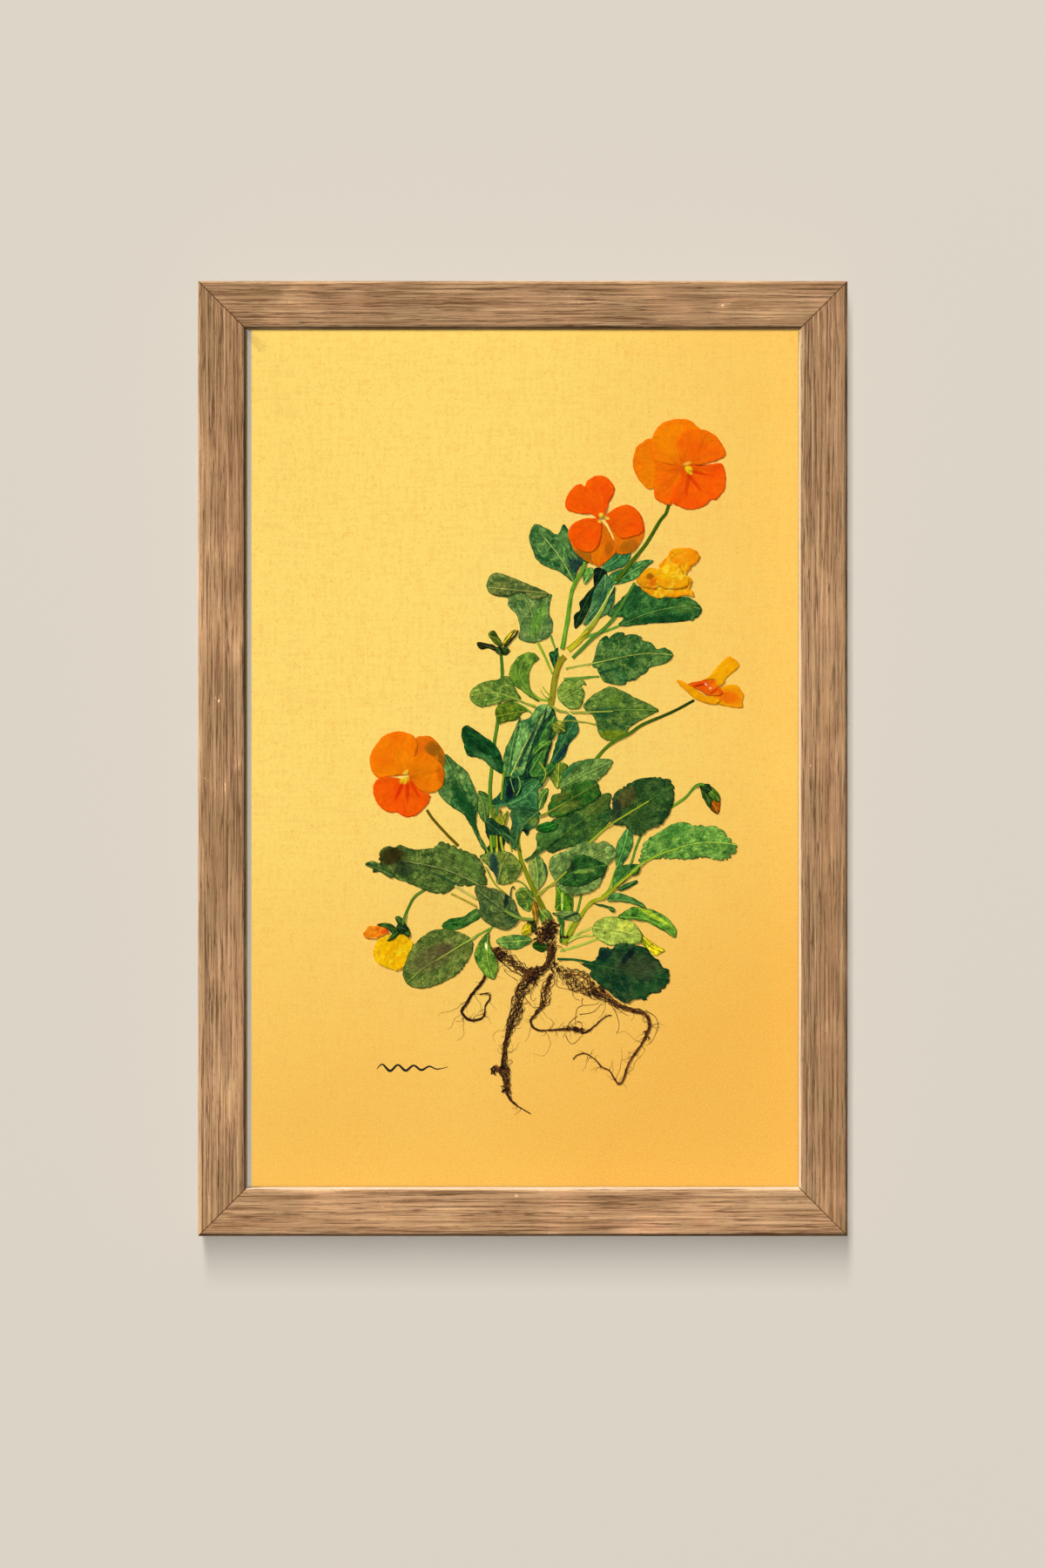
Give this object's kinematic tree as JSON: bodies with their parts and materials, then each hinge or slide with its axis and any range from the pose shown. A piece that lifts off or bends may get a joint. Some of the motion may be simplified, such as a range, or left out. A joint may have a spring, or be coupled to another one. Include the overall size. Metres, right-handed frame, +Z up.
{
  "type": "pressed flower frame",
  "caption": "Upright mitred oak frame with a whole pressed orange pansy, roots to flowers, on a yellow sheet behind glass.",
  "frame": {"origin": "the middle notch of the sawtooth hanger on the back of the top rail, in the plane of the rails' backs", "axes": "+Z up the frame, +X to the right seen from the front, the glass faces -Y and the back +Y"},
  "size_m": [0.215, 0.0221, 0.316],
  "materials": {
    "oak": "oiled, satin",
    "glass": "clear",
    "yellow_sheet": "matt, slightly textured",
    "underlay_card": "matt",
    "backing_board": "raw hardboard",
    "steel": "zinc plated",
    "leaf": "dry pressed leaf, matt",
    "petal": "dry pressed petal, matt, translucent",
    "stem": "dry pressed stem, satin",
    "root": "dry root fibre, matt",
    "capsule": "dry seed capsule, matt",
    "bud": "dry bud, matt"
  },
  "bodies": {
    "root": {"rail_top": "oak", "rail_bottom": "oak", "rail_left": "oak", "rail_right": "oak", "glass": "glass", "mount_sheet": "yellow_sheet", "underlay": "underlay_card", "backing_board": "backing_board", "tab_left": "steel", "tab_right": "steel", "tab_top": "steel", "tab_bottom": "steel", "hanger": "steel", "nail_left": "steel", "nail_right": "steel", "leaf_notched": "leaf", "leaf_folded_top": "leaf", "leaf_long_right": "leaf", "leaf_toothed": "leaf", "leaf_spoon_upper": "leaf", "leaf_spoon_left": "leaf", "leaf_folded_right": "leaf", "leaf_upright": "leaf", "leaf_pale_centre": "leaf", "leaf_dark_left": "leaf", "leaf_long_left": "leaf", "leaf_large_left": "leaf", "leaf_dark_low": "leaf", "leaf_oval": "leaf", "leaf_central_upper": "leaf", "leaf_central_lower": "leaf", "leaf_brown_right": "leaf", "leaf_light_right": "leaf", "leaf_pale_low": "leaf", "leaf_large_low": "leaf", "leaf_grey_fold": "leaf", "flower_top_right": "petal", "flower_top_middle": "petal", "flower_left": "petal", "flower_crumpled": "petal", "flower_side_on": "petal", "flower_withered": "petal", "stem_lower": "stem", "stem_upper": "stem", "stem_top_shoot": "stem", "stem_side_shoot": "stem", "stalk_top_right": "stem", "stalk_top_middle": "stem", "stalk_left": "stem", "stalk_crumpled": "stem", "stalk_side_on": "stem", "stalk_bud": "stem", "stalk_withered": "stem", "stalk_capsule": "stem", "root_main": "root", "root_left": "root", "root_middle": "root", "root_right": "root", "seed_capsule": "capsule", "bud": "bud"}
  },
  "joints": []
}
